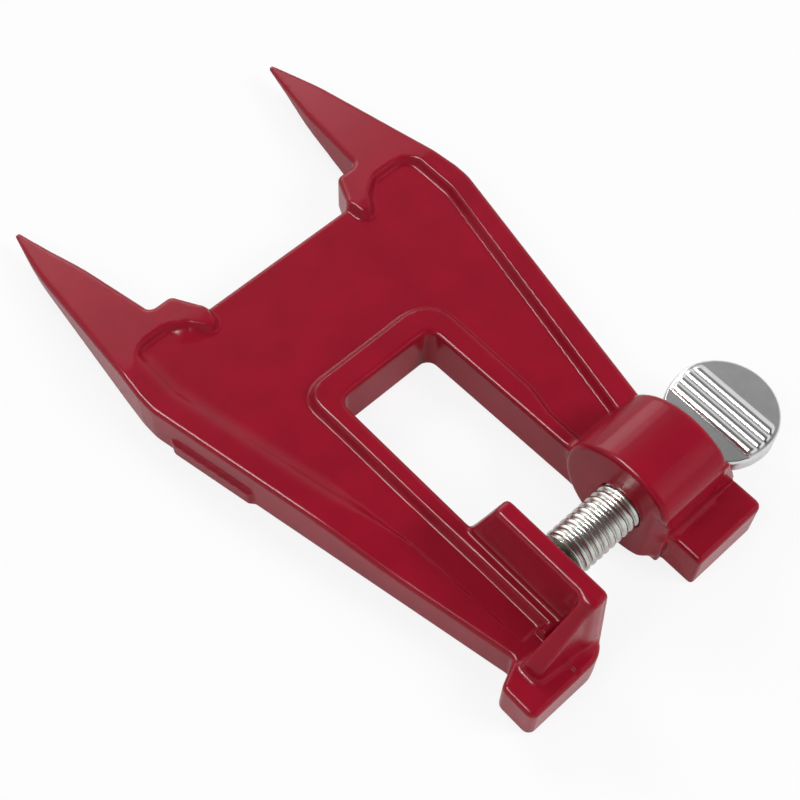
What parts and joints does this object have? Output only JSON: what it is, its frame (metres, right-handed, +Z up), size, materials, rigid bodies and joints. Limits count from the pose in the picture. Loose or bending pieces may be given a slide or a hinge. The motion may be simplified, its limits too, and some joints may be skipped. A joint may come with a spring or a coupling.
{
  "type": "chainsaw stump vise",
  "caption": "Spiked cast vise that is hammered into a stump and clamps a chainsaw guide bar between a fixed jaw and a thumb screw.",
  "frame": {"origin": "bottom centre of the part's bounding box, on the table it lies on", "axes": "+X along the clamp screw from the fixed jaw towards the thumb paddle, +Y from the hammer lugs towards the spike tips, +Z up from the table"},
  "size_m": [0.1148, 0.1874, 0.035],
  "materials": {
    "red_paint": "glossy red enamel on a smooth casting",
    "zinc": "bright zinc plating",
    "chrome": "bright nickel-chrome plating"
  },
  "bodies": {
    "frame_body": {"vise_frame": "red_paint"},
    "pad_body": {"swivel_pad": "zinc"},
    "screw_body": {"clamp_screw": "zinc", "thumb_paddle": "chrome"}
  },
  "joints": [
    {"name": "screw_travel", "type": "slide", "parent": "frame_body", "child": "pad_body", "axis": [1, 0, 0], "range_m": [0, 0.01905]},
    {"name": "screw_turn", "type": "hinge", "parent": "pad_body", "child": "screw_body", "pos_m": [-0.004, -0.0716, 0.01735], "axis": [1, 0, 0], "range_deg": [0, 3240]}
  ],
  "couplings": [
    {"joint": "screw_turn", "follows": "screw_travel", "rad_per_m": 2968}
  ]
}
